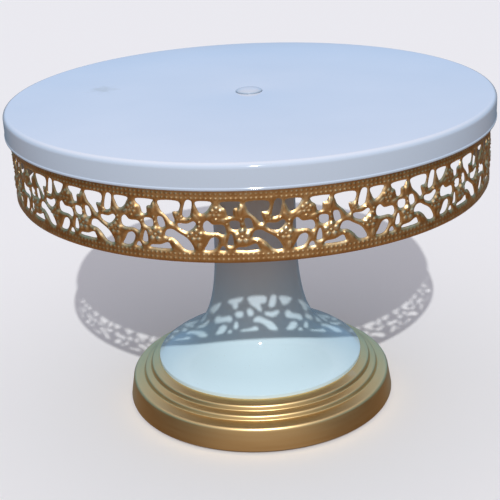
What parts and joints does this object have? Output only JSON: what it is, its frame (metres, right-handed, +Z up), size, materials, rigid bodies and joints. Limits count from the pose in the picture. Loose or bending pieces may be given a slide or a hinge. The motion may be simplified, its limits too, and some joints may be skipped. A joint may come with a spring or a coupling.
{
  "type": "cake turntable",
  "caption": "Round turntable for decorating and showing cakes: flat plate with an openwork lace skirt, turning on a bearing on a trumpet pedestal with a stepped base ring.",
  "frame": {"origin": "centre of the footprint, on the surface that it stands on", "axes": "+Z up along the spindle; -Y faces the viewer; the object is round about Z"},
  "size_m": [0.3, 0.3, 0.2068],
  "materials": {
    "white_enamel": "gloss enamel",
    "gold_ring": "satin gold plate",
    "lace_gold": "antique gold plate, glossy",
    "steel": "machined",
    "dark_steel": "blackened",
    "bronze": "machined bronze",
    "rubber": "matt black",
    "cast_iron": "black paint over cast iron and sheet"
  },
  "bodies": {
    "base": {"thrust_race_bottom": "steel", "spindle_bush": "bronze", "bearing_housing": "dark_steel", "housing_plug": "dark_steel", "pedestal": "white_enamel", "tie_rod": "steel", "tie_washer": "steel", "tie_nut": "steel", "base_ring": "gold_ring", "ballast": "cast_iron", "bottom_plate": "cast_iron", "bottom_screws": "steel", "rubber_feet": "rubber"},
    "plate": {"top_pan": "white_enamel", "lace_band": "lace_gold", "lace_clips": "steel", "centre_bolt": "white_enamel", "hub_gasket": "rubber", "support_saucer": "steel", "spindle": "steel", "flange_screws": "dark_steel", "thrust_race_top": "steel", "retaining_washer": "bronze", "retaining_ring": "dark_steel"},
    "bearing_cage": {"thrust_balls": "steel", "ball_cage": "bronze"}
  },
  "joints": [
    {"name": "plate_spin", "type": "hinge", "parent": "base", "child": "plate", "pos_m": [0, 0, 0.19], "axis": [0, 0, 1], "continuous": true},
    {"name": "cage_spin", "type": "hinge", "parent": "base", "child": "bearing_cage", "pos_m": [0, 0, 0.19], "axis": [0, 0, 1], "continuous": true}
  ],
  "couplings": [
    {"joint": "cage_spin", "follows": "plate_spin", "ratio": 0.5}
  ]
}
